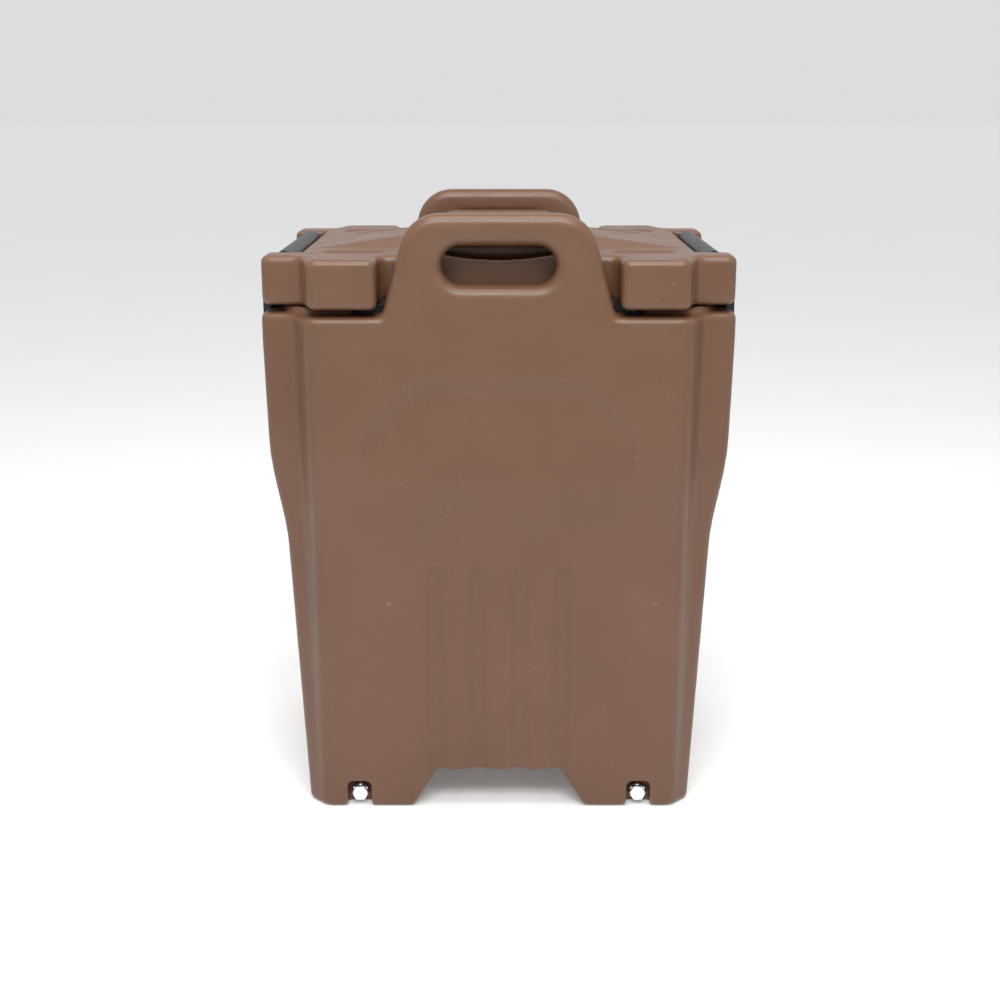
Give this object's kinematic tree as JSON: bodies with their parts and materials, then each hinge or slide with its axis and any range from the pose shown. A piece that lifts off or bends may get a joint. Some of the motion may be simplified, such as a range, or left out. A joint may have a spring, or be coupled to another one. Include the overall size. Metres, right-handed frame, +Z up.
{
  "type": "insulated food carrier",
  "caption": "Double-walled moulded food carrier with arch handles, foam core, lift-off lid held by wide side latches, gasket, vent cap, footed base with a channel through it.",
  "frame": {"origin": "on the floor under the middle of the body", "axes": "+Z up through the lid; the front face with its handle looks along -Y; +X to the right of the front"},
  "size_m": [0.533, 0.44, 0.7],
  "materials": {
    "brown_plastic": "satin rotationally moulded polyethylene",
    "black_nylon": "satin black moulded nylon",
    "black_silicone": "soft glossy silicone",
    "foam": "closed-cell insulating foam",
    "zinc_steel": "bright zinc plate",
    "pin_steel": "drawn steel",
    "brass_insert": "turned brass"
  },
  "bodies": {
    "body": {"body_shell": "brown_plastic", "body_foam": "foam", "body_fill_plug": "black_nylon", "foot_inserts": "brass_insert", "foot_bolts": "zinc_steel", "foot_nuts": "zinc_steel", "left_latch_bracket": "black_nylon", "right_latch_bracket": "black_nylon", "left_bracket_screws": "zinc_steel", "right_bracket_screws": "zinc_steel", "left_bracket_inserts": "brass_insert", "right_bracket_inserts": "brass_insert", "left_latch_pin": "pin_steel", "right_latch_pin": "pin_steel"},
    "lid": {"lid_shell": "brown_plastic", "lid_foam": "foam", "lid_gasket": "black_silicone", "lid_fill_plug": "black_nylon", "vent_sleeve": "black_nylon", "vent_seal": "black_silicone"},
    "vent_cap": {"vent_cap": "black_nylon"},
    "left_latch": {"left_latch": "black_nylon"},
    "right_latch": {"right_latch": "black_nylon"}
  },
  "joints": [
    {"name": "lid_lift", "type": "slide", "parent": "body", "child": "lid", "axis": [0, 0, 1], "range_m": [0, 0.15]},
    {"name": "right_latch_swing", "type": "hinge", "parent": "body", "child": "right_latch", "pos_m": [0.2602, 0, 0.535], "axis": [0, 1, 0], "range_deg": [0, 150]},
    {"name": "left_latch_swing", "type": "hinge", "parent": "body", "child": "left_latch", "pos_m": [-0.2602, 0, 0.535], "axis": [0, -1, 0], "range_deg": [0, 150]},
    {"name": "vent_turn", "type": "hinge", "parent": "lid", "child": "vent_cap", "pos_m": [0, 0, 0.67], "axis": [0, 0, 1], "range_deg": [0, 90]}
  ],
  "couplings": [
    {"joint": "right_latch_swing", "follows": "lid_lift", "rad_per_m": 17},
    {"joint": "left_latch_swing", "follows": "lid_lift", "rad_per_m": 17}
  ]
}
